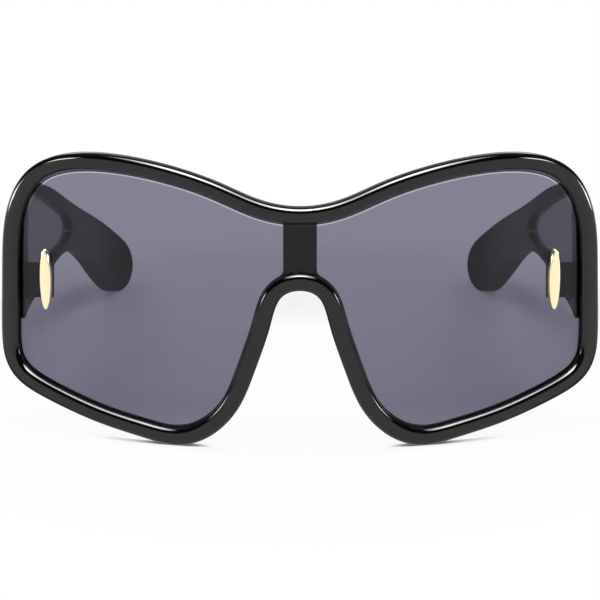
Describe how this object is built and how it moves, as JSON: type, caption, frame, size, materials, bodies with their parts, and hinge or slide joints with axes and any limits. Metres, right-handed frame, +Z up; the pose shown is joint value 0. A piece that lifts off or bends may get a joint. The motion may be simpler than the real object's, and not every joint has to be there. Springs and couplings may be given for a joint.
{
  "type": "shield sunglasses",
  "caption": "Oversized one-piece shield sunglasses: glossy rim, smoke lens with a bridge bar behind it, gold ovals, and wide windowed temples that fold on screw hinges.",
  "frame": {"origin": "on the floor under the middle of the standing glasses", "axes": "+Z up, -Y the way the lens faces, +X to the right of someone who looks at the lens"},
  "size_m": [0.1508, 0.1422, 0.0705],
  "materials": {
    "gloss_black": "polished black acetate-like plastic",
    "satin_black": "semi-gloss black plastic",
    "smoke_lens": "clear smoke-violet tint, polished",
    "gold": "polished gold plate",
    "hinge_steel": "satin nickel plate",
    "dark_steel": "dark oxide"
  },
  "bodies": {
    "front": {"front_rim": "gloss_black", "shield_lens": "smoke_lens", "rear_frame": "satin_black", "shell_screws": "dark_steel", "gold_oval_left": "gold", "gold_oval_right": "gold", "oval_stud_left": "gold", "oval_stud_right": "gold", "front_hinge_left": "hinge_steel", "front_hinge_right": "hinge_steel", "front_hinge_screws": "dark_steel", "hinge_screw_left": "dark_steel", "hinge_screw_right": "dark_steel"},
    "temple_left": {"temple_left": "gloss_black", "side_lens_left": "smoke_lens", "temple_hinge_left": "hinge_steel", "temple_hinge_screws_left": "dark_steel"},
    "temple_right": {"temple_right": "gloss_black", "side_lens_right": "smoke_lens", "temple_hinge_right": "hinge_steel", "temple_hinge_screws_right": "dark_steel"}
  },
  "joints": [
    {"name": "temple_left_fold", "type": "hinge", "parent": "front", "child": "temple_left", "pos_m": [-0.06765, -0.04089, 0.0347], "axis": [0, -0.3002, -0.9539], "range_deg": [0, 78]},
    {"name": "temple_right_fold", "type": "hinge", "parent": "front", "child": "temple_right", "pos_m": [0.06765, -0.04089, 0.0347], "axis": [0, 0.3002, 0.9539], "range_deg": [0, 88]}
  ]
}
